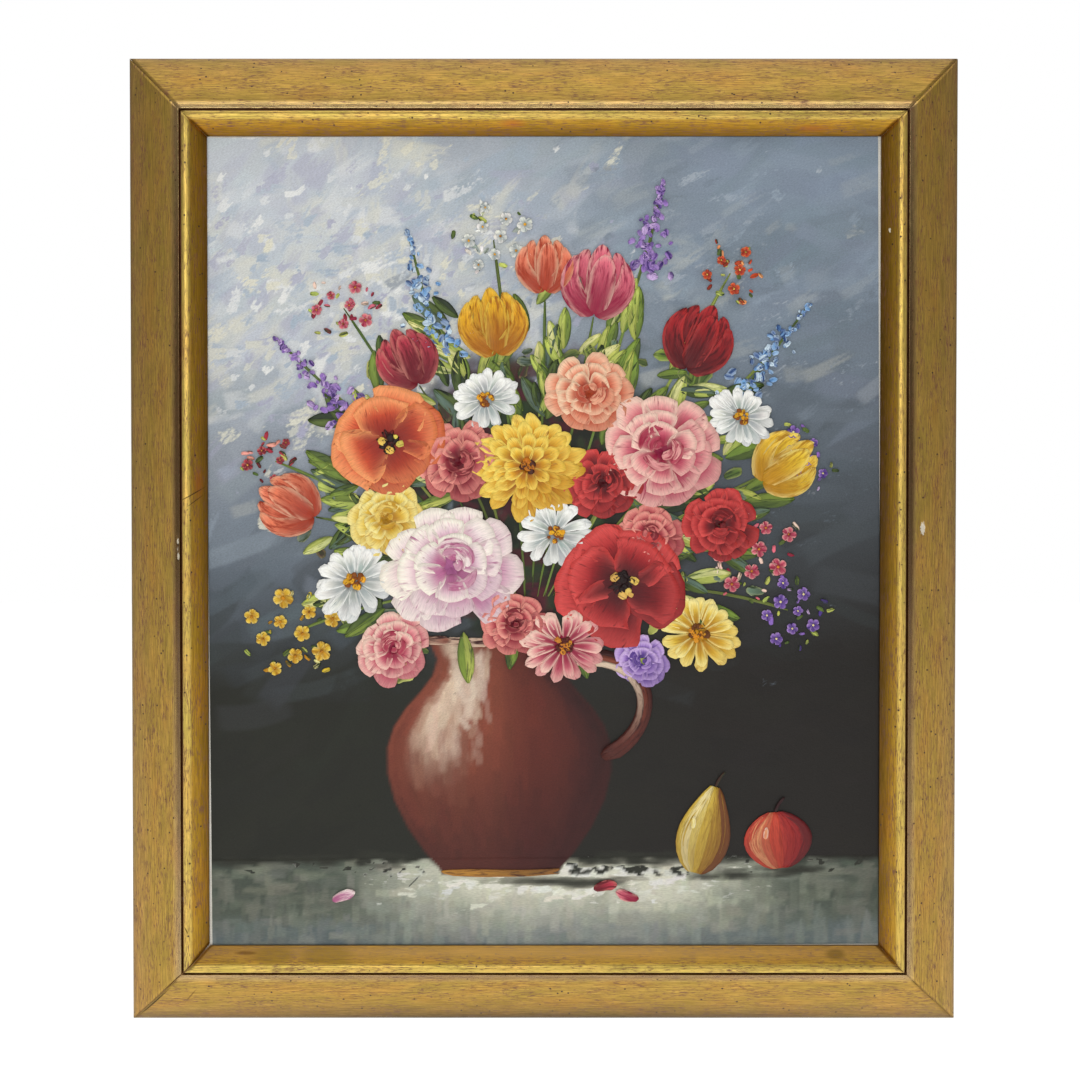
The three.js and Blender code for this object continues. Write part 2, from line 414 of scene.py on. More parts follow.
def makeRawWood(name, pale, dark, along):  # planed pine: soft straight grain with darker summer lines
    material, tree = newMaterial(name)
    place = addNode(tree, "TexCoord").outputs["Object"]
    scale = (6, 320, 320) if along == "X" else (320, 320, 6)  # grain 3 mm apart, 160 mm long
    grainPlace = addNode(tree, "Mapping", {"Vector": place, "Scale": scale})
    grain = addNode(tree, "TexNoise", {"Vector": grainPlace, "Scale": 1.0, "Detail": 5.0, "Distortion": 0.6})
    tone = addNode(tree, "ValToRGB", {"Fac": grain}, stops=[
        (0.32, dark), (0.5, pale), (0.7, mix(linear(pale), (1, 1, 1, 1), 0.12)),
    ])
    bump = addNode(tree, "Bump", {"Height": grain, "Strength": 0.3, "Distance": 0.2 * mm})
    surface = addNode(tree, "BsdfPrincipled", {"Base Color": tone, "Roughness": 0.7, "Normal": bump})
    addNode(tree, "OutputMaterial", {"Surface": surface})
    return material


wornGold = makeWornGold()
pineAcross = makeRawWood("planedPineAcross", "#C9A46E", "#A87E4A", "X")
pineUpright = makeRawWood("planedPineUpright", "#C9A46E", "#A87E4A", "Z")
for number, side in enumerate(rails):
    makeRail(side, number, [wornGold, pineAcross if side in ("top", "bottom") else pineUpright])
print("moulding made")


# Stretcher bars, from the CAD bars with their arrises eased

stretcher = {"arris": 0.9, "segments": 3}


def makeBar(side):
    node = f"bar_{side}"
    bm = bmesh.new()
    bm.from_mesh(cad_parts[node].data)
    bm.transform(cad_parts[node].matrix_world)
    bmesh.ops.remove_doubles(bm, verts=bm.verts, dist=0.01 * mm)
    bmesh.ops.dissolve_limit(bm, angle_limit=math.radians(2), verts=bm.verts, edges=bm.edges)
    bmesh.ops.bevel(bm, geom=bm.edges, offset=stretcher["arris"] * mm, offset_type="OFFSET", affect="EDGES",
                    segments=stretcher["segments"], profile=0.5, material=-1)
    wood = pineAcross if side in ("top", "bottom") else pineUpright
    return makePiece(f"{side}StretcherBar", bm, [wood], [node])


bars = [makeBar(side) for side in rails]
print("stretcher made")


# Canvas

canvas = {  # mm
    "width": 508, "height": 610, "cloth": 0.8, "fold": 0.7, "depth": 19, "turnover": 20,
    "front": -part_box("canvas")[0].y / mm,  # how far the cloth's front stands off the wall
    "slip": 2.1,  # how far its top has slipped sideways in the rabbet
    "paintWidth": 496.2, "paintHeight": 599.8,
}
turn = math.atan(canvas["slip"] / (canvas["height"] / 2))


def onCanvas(x, z, height):  # a place on the cloth, in mm from its middle, to the row frame
    return Vector((
        (middleX + x * math.cos(turn) - z * math.sin(turn)) * mm,
        -(canvas["front"] + height) * mm,
        (middleZ + x * math.sin(turn) + z * math.cos(turn)) * mm,
    ))


def makeCanvasCloth(materials):
    c = canvas
    bm = bmesh.new()
    bmesh.ops.create_cube(bm, size=1)
    bmesh.ops.scale(bm, vec=(c["width"], c["depth"], c["height"]), verts=bm.verts)
    back = [f for f in bm.faces if f.normal.y > 0.9]
    bmesh.ops.inset_region(bm, faces=back, thickness=c["turnover"], use_even_offset=True)
    reach = c["width"] / 2 - 1
    inner = [f for f in bm.faces if f.normal.y > 0.9 and max(abs(v.co.x) for v in f.verts) < reach]
    bmesh.ops.delete(bm, geom=inner, context="FACES_ONLY")
    sharp = [e for e in bm.edges if len(e.link_faces) == 2]
    bmesh.ops.bevel(bm, geom=sharp, offset=c["fold"], offset_type="OFFSET", affect="EDGES", segments=3,
                    profile=0.5, material=-1)
    for vert in bm.verts:
        vert.co = onCanvas(vert.co.x, vert.co.z, -c["depth"] / 2 - vert.co.y)
    piece = makePiece("canvasCloth", bm, materials, ["canvas"])
    wall = piece.modifiers.new("cloth", "SOLIDIFY")
    wall.thickness, wall.offset = c["cloth"] * mm, -1
    wall.material_offset, wall.material_offset_rim = 1, 1


def makeCottonDuck(name, pale, dark, depth):  # plain weave: square, dull and slightly rough
    material, tree = newMaterial(name)
    place = addNode(tree, "TexCoord").outputs["Object"]
    # threads are 0.6 mm apart, and are drawn 1.2 mm apart so that they show
    threads = [
        addNode(tree, "TexWave", {"Vector": place, "Scale": 265.0, "Distortion": 1.2, "Detail": 2.0},
                bands_direction=axis).outputs["Fac"]
        for axis in ("X", "Z")
    ]
    weave = addNode(tree, "Math", {0: threads[0], 1: threads[1]}, operation="MULTIPLY")
    slubs = addNode(tree, "TexNoise", {"Vector": place, "Scale": 60.0, "Detail": 4.0})
    both = addNode(tree, "Math", {0: weave, 1: slubs}, operation="ADD")
    tone = addNode(tree, "ValToRGB", {"Fac": both}, stops=[(0.4, dark), (0.95, pale)])
    bump = addNode(tree, "Bump", {"Height": weave, "Strength": 0.5, "Distance": depth * mm})
    surface = addNode(tree, "BsdfPrincipled", {"Base Color": tone, "Roughness": 0.85, "Normal": bump})
    addNode(tree, "OutputMaterial", {"Surface": surface})
    return material


primedCotton = makeCottonDuck("primedCottonDuck", "#EFEDE4", "#D6D2C4", 0.1)
rawCotton = makeCottonDuck("rawCottonDuck", "#D9CDB2", "#B9A988", 0.25)
makeCanvasCloth([primedCotton, rawCotton])
print("canvas made")


# Oil paint: every mark of the brush or knife is a patch of its own, laid over the last

def makeOilPaint():  # oil paint, thick and slightly glossy: streaked by bristles, with broken dry edges
    material, tree = newMaterial("oilPaint")
    paint = addNode(tree, "Attribute", attribute_name="paint")
    under = addNode(tree, "Attribute", attribute_name="under")
    place = addNode(tree, "Attribute", attribute_name="mark").outputs["Vector"]
    # bristle streaks 2.4 mm apart: mark holds mm along and across each stroke, along already shortened
    broad = addNode(tree, "TexNoise", {"Vector": place, "Scale": 0.42, "Detail": 4.0, "Roughness": 0.62})
    cover = addNode(tree, "Math", {0: paint.outputs["Alpha"], 1: broad}, operation="ADD")
    share = addNode(tree, "MapRange", {"Value": cover, "From Min": 0.92, "From Max": 1.08})
    mixed = addNode(tree, "Mix", {0: share, 6: under.outputs["Color"], 7: paint.outputs["Color"]},
                    data_type="RGBA")
    fine = addNode(tree, "TexNoise", {"Vector": place, "Scale": 1.3, "Detail": 3.0})
    lighten = addNode(tree, "MapRange", {
        "Value": fine, "From Min": 0.3, "From Max": 0.7, "To Min": 0.86, "To Max": 1.12,
    })
    colour = addNode(tree, "VectorMath", {0: mixed.outputs[2], "Scale": lighten}, operation="SCALE")
    relief = addNode(tree, "Math", {0: fine, 1: broad}, operation="ADD")
    bump = addNode(tree, "Bump", {"Height": relief, "Strength": 0.6, "Distance": 0.35 * mm})
    rough = addNode(tree, "MapRange", {"Value": share, "To Min": 0.52, "To Max": 0.4})
    surface = addNode(tree, "BsdfPrincipled", {
        "Base Color": colour, "Roughness": rough, "Normal": bump, "Specular IOR Level": 0.28,
    })
    addNode(tree, "OutputMaterial", {"Surface": surface})
    return material


oilPaint = makeOilPaint()
rng = random.Random(20)
between, around, oneOf = rng.uniform, rng.gauss, rng.choice
paintLimit = (canvas["paintWidth"] / 2, canvas["paintHeight"] / 2)
curveSteps = 16


def roomUnderLip(x, z):  # how far paint may stand up, in mm: next to nothing under the frame's lip
    return 4 * smooth(3, 14, min(paintLimit[0] - abs(x), paintLimit[1] - abs(z)))


def paintLayers(bm):  # the colour, what shows in its streaks, and where along the mark it is
    layers = bm.verts.layers
    return layers.float_color.new("paint"), layers.float_color.new("under"), layers.float_vector.new("mark")


def tonesOf(tones, names):
    return [tones[name] for name in names.split()]

brush = {  # what a mark is like unless it says otherwise; sizes in mm
    "thick": 0.5, "lift": 0.0, "cover": 0.55, "ragged": 0.08, "tipRound": 0.28, "grain": 0.14, "drop": 0.7,
    "ridge": 0.5, "edge": 0.5, "turn": (0.08, 0.92), "rimFrom": 0.82,
}


def stroke(layer, path, widths, tones, cells=(9, 7), **settings):
    # path: 2 to 4 steering points; widths: half widths at start, middle and end
    # tones: start, end, rim, and what shows in the streaks, each a colour or what gives one at a place
    mark = {**brush, "path": path, "widths": widths, "tones": tones, "seed": rng.random() * 900, **settings}
    layer.setdefault(cells, []).append(mark)


def curveOf(mark):  # points down the mark's middle: place, direction across it, half width
    samples = []
    for step in range(curveSteps + 1):
        t = step / curveSteps
        px, pz = bezier(mark["path"], t)
        ax, az = bezier(mark["path"], max(0, t - 0.03))
        bx, bz = bezier(mark["path"], min(1, t + 0.03))
        size = math.hypot(bx - ax, bz - az) or 1
        half = bezier([(w,) for w in mark["widths"]], t)[0]
        samples.append((px, pz, -(bz - az) / size, (bx - ax) / size, half))
    return samples


def layMark(mark, curve, length, along, across, edged):  # place, height, colour, streak colour, streak place
    seed, ragged = mark["seed"], mark["ragged"]
    rounding = mark["tipRound"] * smooth(0.3, 1, along) * along - 0.10 * (1 - along)
    wander = ragged * 0.6 * along * noise.noise((along * 2.3, across * 1.7, seed))
    t = min(1.0, max(0.0, along - rounding * across * across + wander)) * curveSteps
    step = min(curveSteps - 1, int(t))
    px, pz, nx, nz, half = mix(curve[step], curve[step + 1], t - step)
    half *= 1 + ragged * 1.4 * noise.noise((t * 0.19, across, seed + 5))
    reach = across * half + (math.copysign(0.2, across) if edged else 0)
    x, z = px + nx * reach, pz + nz * reach
    bristle = noise.noise((t * 0.06, across * half * 0.55, seed + 9))
    ridges = abs(across) ** 3 + 1.1 * math.exp(-((along - 0.92) / 0.1) ** 2)
    body = 0.55 + mark["ridge"] * ridges + 0.3 * bristle
    height = mark["lift"] + mark["thick"] * body * (0.35 + 0.65 * smooth(0, 0.3, along))
    x = min(paintLimit[0], max(-paintLimit[0], x))
    z = min(paintLimit[1], max(-paintLimit[1], z))
    height = max(0.05, min(height, 0.38 + roomUnderLip(x, z)))
    if edged:
        height = max(0.0, height - mark["drop"])
    start, end, border, under = (tone(x, z) if callable(tone) else tone for tone in mark["tones"])
    tint = mix(start, end, smooth(*mark["turn"], along))
    tint = mix(tint, border, mark["edge"] * min(1, across ** 4 + smooth(mark["rimFrom"], 1, along)))
    place = (along * length * mark["grain"], across * half, seed)
    return onCanvas(x, z, height), tint[:3] + (mark["cover"],), under, place


def finishLayer(name, layer):  # all marks of one kind are cut from one long grid
    bm = bmesh.new()
    paint, under, place = paintLayers(bm)
    bakeMap = bm.loops.layers.uv.new("OFBake")
    side = math.ceil(math.sqrt(sum(len(marks) for marks in layer.values())))
    done = 0
    for (columns, rows), marks in layer.items():
        tall = len(marks) * (rows + 1) - 1
        grid = bmesh.ops.create_grid(bm, x_segments=columns, y_segments=tall, size=1)["verts"]
        curves = list(map(curveOf, marks))
        lengths = [sum(math.dist(a, b) for a, b in zip(mark["path"], mark["path"][1:])) for mark in marks]
        spots = {v: (round((v.co.x + 1) / 2 * columns), round((v.co.y + 1) / 2 * tall)) for v in grid}
        faces = {face for vert in grid for face in vert.link_faces}
        gaps = [f for f in faces if min(spots[v][1] for v in f.verts) % (rows + 1) == rows]
        faces.difference_update(gaps)
        bmesh.ops.delete(bm, geom=gaps, context="FACES")
        for vert, (column, line) in spots.items():
            number, row = divmod(line, rows + 1)
            along = (min(max(column, 1), columns - 1) - 1) / (columns - 2)
            across = (min(max(row, 1), rows - 1) - 1) / (rows - 2) * 2 - 1
            edged = column in (0, columns) or row in (0, rows)
            laid = layMark(marks[number], curves[number], lengths[number], along, across, edged)
            vert.co, vert[paint], vert[under], vert[place] = laid
        for face in faces:  # a square of its own for each mark
            for loop in face.loops:
                column, line = spots[loop.vert]
                number, row = divmod(line, rows + 1)
                down, right = divmod(done + number, side)
                u, v = 0.06 + 0.88 * column / columns, 0.06 + 0.88 * row / rows
                loop[bakeMap].uv = ((right + u) / side, (down + v) / side)
        done += len(marks)
    count = len(bm.faces)
    makePiece(name, bm, [oilPaint])
    print(name, "made:", done, "marks,", count, "faces")


def drawn(value):  # a pair is a range to draw from, and a number stands
    return between(*value) if isinstance(value, tuple) else value


def jitter(colour, amount):  # the same colour, a little lighter or darker and off hue
    shade = 1 + between(-amount, amount)
    return tuple(min(1.0, c * shade * (1 + between(-amount, amount) * 0.4)) for c in colour[:3]) + (1.0,)


def polar(x, z, angle, radius, squash=1.0, lean=0.0):  # degrees from the right, anticlockwise
    a, b = math.radians(angle), math.radians(lean)
    px, pz = radius * math.cos(a), radius * math.sin(a) * squash
    return (x + px * math.cos(b) - pz * math.sin(b), z + px * math.sin(b) + pz * math.cos(b))


greens = palette(  # and the wine and black of the shadows between them
    bright="#C4CC62", leaf="#7F9638", olive="#56692C", deep="#2A3A1E", black="#171C14", grey="#5F7466",
    wine="#4A1420", stem="#8E9A48", lemon="#E6E29A",
)


def level(x, z, angle, reach, bow=0.0):  # a path through a place, at an angle in degrees
    return [polar(x, z, angle + 180, reach), polar(x, z, angle + 90, bow), polar(x, z, angle, reach)]


# Jug: round-bellied brown earthenware with a handle, standing left of the middle

jug = {  # mm from the canvas's middle; the profile is shares of its height, then half widths
    "x": -34, "foot": -246, "height": 172, "strokes": 420, "lights": 150, "lipMarks": 7,
    "profile": ((0, 0.03, 0.1, 0.2, 0.32, 0.44, 0.55, 0.64, 0.72, 0.79, 0.86, 0.93, 1),
                (43, 46, 56, 68, 78, 83, 83, 78, 69, 58, 49, 45.5, 51)),
    **palette(glow="#E6CDB2", clay="#874430", warm="#62281D", deep="#3D1715", shade="#25110F",
              ochre="#C08A30", sheen="#F3E6D2"),
}


def readTable(table, share, blend):  # a value from a table of (share, value), eased between its lines
    for (low, a), (high, b) in zip(table, table[1:]):
        if share <= high:
            return blend(a, b, smooth(low, high, share))
    return table[-1][1]


def jugRadius(share):
    return float(np.interp(share, *jug["profile"]))


def jugColour(side, share):  # side is -1 at the left outline and 1 at the right
    j = jug
    glow = mix(j["clay"], j["glow"], smooth(0.3, 0.8, share))
    tone = readTable(((-1.2, j["warm"]), (-0.75, j["clay"]), (-0.45, glow), (-0.15, j["clay"]),
                      (0.25, j["warm"]), (0.7, j["deep"]), (1.2, j["shade"])), side, mix)
    return mix(tone, j["deep"], 0.8 * smooth(0.72, 0.05, share) + 0.2 * smooth(0.8, 1.0, share))


# Ground: cool light above on the left, slate on the right, falling to near black, and a pale table
# It is one sheet of paint, brushed wet into wet, so its marks are blended into a field of colours and heights

ground = {  # places in mm from the canvas's middle
    "tableTop": -234, "side": 250, "head": 300, "base": -299, "cell": 1.75,
    "bundle": (-4, 34), "bundleReach": 118, "bundleFoot": -76,
    "broadStrokes": 620, "darkStrokes": 900, "tableStrokes": 700, "creamStrokes": 440, "edgeTouches": 150,
    "edgeShadow": 70, "castShadow": 16,
    "shadows": ((20, -251, 74), (134, -248, 30), (186, -245, 30)),  # x, z and reach, right of jug and fruit
    **palette(light="#CBD0D5", slate="#76838F", blue="#8A98A8", dusk="#474D52", dark="#1E1A16",
              green="#21221A", cream="#DEDBC8", white="#E8E8E4", lavender="#A9A8BE", pale="#A6B4C2"),
    **palette(table="#6E7668", tableEdge="#2A2B22", tableBlue="#5C6870", tableCream="#DEDCC6",
              tableSide="#464E44", tablePale="#A9AB9C"),
}
# Clouds and streaks: a pair is a mean and a spread in x, z and angle, and a range elsewhere. None lies below
# skyline, which rises with x by slope, and where pick % every is first the mark is dragged dry
clouds = readRows((
    "count", "x", "z", "skyline", "slope", "tones", "share", "angle", "reach",
    "half", "cover", "load", "bow", "dry", "every", "first",
), (
    (760, (-125, 92), (185, 74), 10, 0.4, "cream white lavender pale cream", (0.35, 0.95), (34, 28), (6, 24),
     (3, 9), (0.3, 0.68), 0.2, (-2, 2), 0.75, 2, 1),
    (300, (-110, 80), (170, 80), 0, 0, "cream white pale lavender", (0.4, 1), (38, 24), (4, 12),
     (2.2, 4.4), (0.5, 0.9), 0.3, 0, 0.9, 1, 0),
    (240, (90, 90), (215, 50), -300, 0, "pale light slate dusk cream", (0.1, 0.4), (24, 14), (6, 22),
     (2.5, 7), (0.3, 0.6), 0.12, (-2, 2), 0.8, 3, 0),
    (170, (175, 50), (140, 80), -300, 0, "pale light slate", (0.15, 0.5), (2, 7), (8, 30),
     (2, 4), 0.4, 0.06, 0, 0.8, 1, 0),
))


def backdropColour(x, z):
    g = ground
    blur = 26 * noise.noise((x / 90, z / 90, 3))
    leftness = smooth(150, -190, x + 40 * noise.noise((x / 70, z / 60, 8)))
    slate = mix(g["slate"], g["blue"], smooth(-0.5, 0.5, noise.noise((x / 60, z / 50, 14))))
    high = mix(slate, g["light"], leftness * 0.9)
    middle = mix(g["dusk"], g["blue"], 0.5 * leftness)
    low = mix(g["green"], g["dark"], smooth(-100, 150, x))
    lower = mix(low, middle, smooth(-105, 45, z + blur - 0.06 * x))
    return mix(lower, high, smooth(-22, 228, z + blur - 0.06 * x))


def tableColour(x, z):
    g = ground
    depth = (g["tableTop"] - z) / 64  # 0 at its far edge, 1 at the sight edge
    middle = 1 - smooth(45, 172, abs(x - 16))
    tone = mix(g["table"], g["tableSide"], smooth(70, 220, abs(x - 10)) * (1 - smooth(0.4, 1.2, depth)))
    tone = mix(tone, g["tablePale"], 0.85 * middle)
    far = 1 - smooth(0.25, 0.75, depth + 0.3 * noise.noise((x / 30, 0, 4)))
    near = smooth(0.6, 1.05, depth + 0.25 * noise.noise((x / 80, z / 14, 2)))
    tone = mix(tone, g["tableCream"], 0.8 * middle * far)
    tone = mix(tone, g["tableBlue"], 0.75 * near)
    return mix(g["tableEdge"], tone, smooth(0.0, 0.1, depth + 0.08 * noise.noise((x / 12, 0, 5))))


def groundColour(x, z):
    return tableColour(x, z) if z < ground["tableTop"] else backdropColour(x, z)


def jugPlace(x, z):  # across the jug from -1 to 1, up it from 0 to 1, and how far inside its outline, in mm
    share = (z - jug["foot"]) / jug["height"]
    half = jugRadius(min(1, max(0, share)))
    side = math.asin(max(-1, min(1, (x - jug["x"]) / half))) / math.pi * 2
    return side, share, min(half - abs(x - jug["x"]), z - jug["foot"], jug["foot"] + jug["height"] - z)


class PaintField:  # colours, dry paint dragged over them, and heights, on a grid over the whole painting
    def __init__(self, cell):
        self.columns, self.rows = (round(2 * limit / cell) for limit in paintLimit)
        self.xs = np.linspace(-paintLimit[0], paintLimit[0], self.columns + 1)
        self.zs = np.linspace(-paintLimit[1], paintLimit[1], self.rows + 1)
        self.wet = np.array([[groundColour(x, z)[:3] for x in self.xs] for z in self.zs])
        self.dragged = self.wet.copy()
        self.cover = np.zeros(self.wet.shape[:2])
        self.height = np.full(self.wet.shape[:2], 0.1)
        self.dice = np.random.default_rng(11)

    def brush(self, x, z, angle, reach, half, tone, cover=0.5, load=0.1, bow=0.0, dry=0.5, broken=False):
        span = reach + half + abs(bow)
        left, right = np.searchsorted(self.xs, (x - span, x + span))
        foot, head = np.searchsorted(self.zs, (z - span, z + span))
        if right - left < 2 or head - foot < 2:
            return
        window = (slice(foot, head), slice(left, right))
        gridX, gridZ = np.meshgrid(self.xs[left:right] - x, self.zs[foot:head] - z)
        c, s = math.cos(math.radians(angle)), math.sin(math.radians(angle))
        u = (gridX * c + gridZ * s) / reach
        v = (gridZ * c - gridX * s - bow * (1 - u * u)) / half
        tracks = 4 + int(half * 1.6)
        hairs = np.interp(v, np.linspace(-1, 1, tracks), self.dice.uniform(0, 1, tracks))
        body = np.clip(1.6 * (1 - np.abs(v) ** 3), 0, 1) * np.clip(1.6 * (1 - np.abs(u) ** 4), 0, 1)
        body[(np.abs(u) > 1) | (np.abs(v) > 1)] = 0
        alpha = cover * body * np.clip((hairs + 0.75 - dry * (u + 1)) / 0.4, 0, 1)
        if broken:
            layer, share = self.dragged, np.clip(2 * alpha, 0, 1)
            self.cover[window] = np.maximum(self.cover[window], alpha)
        else:
            layer, share = self.wet, alpha
            self.cover[window] *= 1 - alpha
        layer[window] += share[..., None] * (np.array(tone[:3]) - layer[window])
        self.height[window] += load * alpha * (0.4 + hairs) - 0.25 * alpha * (self.height[window] - 0.1)

    def fill(self, shape):  # shape gives a colour and how much of it, or nothing, at a place
        for row, z in enumerate(self.zs):
            for column, x in enumerate(self.xs):
                if found := shape(x, z):
                    tone, share = found
                    self.wet[row, column] += share * (np.array(tone[:3]) - self.wet[row, column])
                    self.cover[row, column] *= 1 - share

    def lay(self, name):
        bm = bmesh.new()
        paint, under, place = paintLayers(bm)
        for vert in bmesh.ops.create_grid(bm, x_segments=self.columns, y_segments=self.rows, size=1)["verts"]:
            column, row = round((vert.co.x + 1) / 2 * self.columns), round((vert.co.y + 1) / 2 * self.rows)
            x, z = self.xs[column], self.zs[row]
            vert.co = onCanvas(x, z, min(self.height[row, column], 0.36 + roomUnderLip(x, z)))
            vert[paint] = (*self.dragged[row, column], self.cover[row, column])
            vert[under] = (*self.wet[row, column], 1)
            if z < ground["tableTop"]:  # streaks lie level on the table, and run up to the right behind it
                vert[place] = (0.25 * x, 1.1 * z, 40)
            else:
                vert[place] = (0.4 * x + 0.22 * z, 0.85 * z - 0.5 * x, 0)
        makePiece(name, bm, [oilPaint])
        print(name, "made:", self.columns * self.rows, "faces")


def clearOfJug(x, z, margin=4):
    return jugPlace(x, z)[2] < -margin


def jugPatch(x, z):
    side, share, inside = jugPlace(x, z)
    return inside > -3 and (jugColour(side, share), smooth(-1.2, 1.2, inside))


def paintBackdrop(field):
    g = ground
    for _ in range(g["broadStrokes"]):  # wide and blended
        x, z = between(-g["side"], g["side"]), between(g["tableTop"] + 10, g["head"])
        near = backdropColour(x + around(0, 22), max(z + around(0, 22), g["tableTop"]))
        tone = jitter(near, 0.09 if z > -40 else 0.16)
        if clearOfJug(x, z, 20):
            field.brush(x, z, around(30 if x < 60 else 8, 20), between(16, 42), between(5, 12), tone,
                        0.5, 0.06, between(-5, 5), 0.4)
    for cloud in clouds:
        tones = tonesOf(g, cloud["tones"])
        for pick in range(cloud["count"]):
            x, z = around(*cloud["x"]), around(*cloud["z"])
            if z < cloud["skyline"] + max(0, x * cloud["slope"]):
                continue
            tone = mix(backdropColour(x, z), oneOf(tones), between(*cloud["share"]))
            field.brush(
                x, z, around(*cloud["angle"]), between(*cloud["reach"]), between(*cloud["half"]), tone,
                drawn(cloud["cover"]), cloud["load"], drawn(cloud["bow"]), cloud["dry"],
                pick % cloud["every"] == cloud["first"],
            )
    tones = tonesOf(greens, "black black deep wine wine deep")
    for _ in range(g["darkStrokes"]):  # leaves and shadow that the blooms are set in
        x, z = polar(*g["bundle"], between(0, 360), g["bundleReach"] * rng.random() ** 0.6, 0.92)
        if z < g["bundleFoot"]:
            continue
        tone = jitter(oneOf(tones), 0.25)
        inside = 1 - smooth(0.6, 1.0, math.dist((x, z), g["bundle"]) / g["bundleReach"])
        field.brush(x, z, between(0, 360), between(8, 18), between(4, 8), tone, 0.12 + 0.7 * inside, 0.12,
                    between(-3, 3), 0.5)


def paintTable(field):
    g = ground
    for _ in range(g["tableStrokes"]):  # short, some level and some upright
        x, z = between(-g["side"], g["side"]), between(g["base"], g["tableTop"] - 4)
        tone = jitter(mix(tableColour(x + around(0, 12), z), g["tableCream"], between(0, 0.2)), 0.14)
        if clearOfJug(x, z):
            upright = z < g["tableTop"] - 16 and rng.random() < 0.5
            field.brush(x, z, (90 if upright else 0) + around(0, 7), between(5, 14), between(2, 4.5), tone,
                        0.5, 0.14, between(-1, 1), 0.6)
    for _ in range(g["creamStrokes"]):  # where the light falls, dragged off a dry brush or a knife
        x, z = around(16, 78), g["tableTop"] - 3 - abs(around(0, 12))
        cream = mix(g["tableCream"], g["white"], rng.random())
        tone = jitter(mix(cream, tableColour(x, z), between(0, 0.5)), 0.07)
        cover = between(0.36, 0.8) * (1 - 0.6 * smooth(50, 180, abs(x - 16)))
        if clearOfJug(x, z):
            field.brush(x, z, oneOf((0, 0, 20)) + around(0, 9), between(4, 16), between(2, 4), tone,
                        cover, 0.32, 0, 0.9, True)
    for _ in range(g["edgeTouches"]):  # dark, and break its far edge
        x, z = around(10, 110), g["tableTop"] - 1 - abs(around(0, 6))
        if clearOfJug(x, z):
            field.brush(x, z, around(0, 14), between(2, 8), between(1, 2.2), g["tableEdge"],
                        0.7, 0.06, 0, 0.9, True)
    for _ in range(g["edgeShadow"]):  # under the jug and along the far edge
        x, z = around(0, 95), g["tableTop"] + between(-5, 3)
        if clearOfJug(x, z, 12):
            field.brush(x, z, around(0, 3), between(8, 26), between(1.8, 3), g["tableEdge"],
                        0.6, 0.05, 0, 0.7)


def paintJugBody(field):
    j = jug
    field.fill(jugPatch)
    for _ in range(j["strokes"]):  # brushed up and down
        share, side = between(0.04, 0.96), between(-1, 1)
        reach = between(5, 20) * min(1, 4 * share, 4 - 4 * share)
        half = between(2, 4.5)
        x = j["x"] + math.sin(side * math.pi / 2) * (jugRadius(share) - half - 4)
        lean = (jugRadius(share + 0.02) - jugRadius(share - 0.02)) / (0.04 * j["height"])
        field.brush(x, j["foot"] + share * j["height"], 90 - math.degrees(math.atan(lean * side)),
                    reach, half, jitter(jugColour(side, share), 0.16), 0.5, 0.08, 0, 0.5)
    for pick in range(j["lights"]):  # its highlight, fading downwards, a third of it dragged dry
        share = 0.93 - 0.45 * rng.random() ** 1.3
        x = j["x"] - jugRadius(share) * (0.4 + around(0, 0.13))
        tone = jitter(mix(j["clay"], mix(j["glow"], j["sheen"], rng.random()), between(0.4, 1)), 0.06)
        cover = between(0.2, 0.5) * smooth(0.35, 0.85, share)
        field.brush(x, j["foot"] + share * j["height"], 90 + around(0, 10), between(5, 16), between(1.8, 3.6),
                    tone, cover, 0.2, 0, 0.7, pick % 3 == 0)


def paintGround():
    field = PaintField(ground["cell"])
    paintBackdrop(field)
    paintTable(field)
    paintJugBody(field)
    for x, z, reach in ground["shadows"]:
        for _ in range(ground["castShadow"]):
            field.brush(x + around(0, reach * 0.3), z + around(0, 2), around(0, 3),
                        between(0.25, 0.5) * reach, between(1.6, 3.2), ground["tableEdge"], 0.4, 0.03, 0, 0.6)
    field.lay("paintedGround")


paintGround()


def paintJug():
    j = jug
    layer = {}
    x0, z0, tall = j["x"], j["foot"], j["height"]
    for part, tone in enumerate((j["deep"], j["clay"], j["glow"])):  # handle
        shift = part * 2.2
        path = [(x0 + 50, z0 + tall * 0.93 - shift), (x0 + 118 - shift, z0 + tall - shift),
                (x0 + 126 - shift, z0 + tall * 0.62), (x0 + 76, z0 + tall * 0.5 + shift)]
        stroke(layer, path, (6 - part * 1.8, 5.5 - part * 1.7, 6 - part * 1.8),
               (tone, j["warm"], j["shade"], j["deep"]), (16, 6),
               lift=0.8 + part * 0.5, thick=0.5, cover=0.6, tipRound=0.05)
    shares = (("clay", 0.8), ("deep", 0.35), ("clay", 0.4))
    tones = [mix(j[name], j["ochre"], share) for name, share in shares]
    stroke(layer, [(x0 - 44, z0 + 2), (x0, z0 - 1), (x0 + 44, z0 + 2)], (1.8, 3.2, 1.8),  # foot
           (*tones, j["deep"]), (30, 6), lift=0.7, thick=0.35, ragged=0.3, tipRound=0, cover=0.6)
    for part in range(j["lipMarks"]):
        side = part / (j["lipMarks"] - 1) * 2 - 1
        tone = jugColour(side * 0.9, 0.7)
        dip = side * side * 2
        stroke(layer, level(x0 + side * 44, z0 + tall + dip, 0, 9), (3, 3.4, 3),
               (mix(tone, j["glow"], 0.3), tone, j["glow"], j["deep"]), lift=0.9 + 0.03 * part)
    finishLayer("paintedJug", layer)


paintJug()


# Leaves and stems

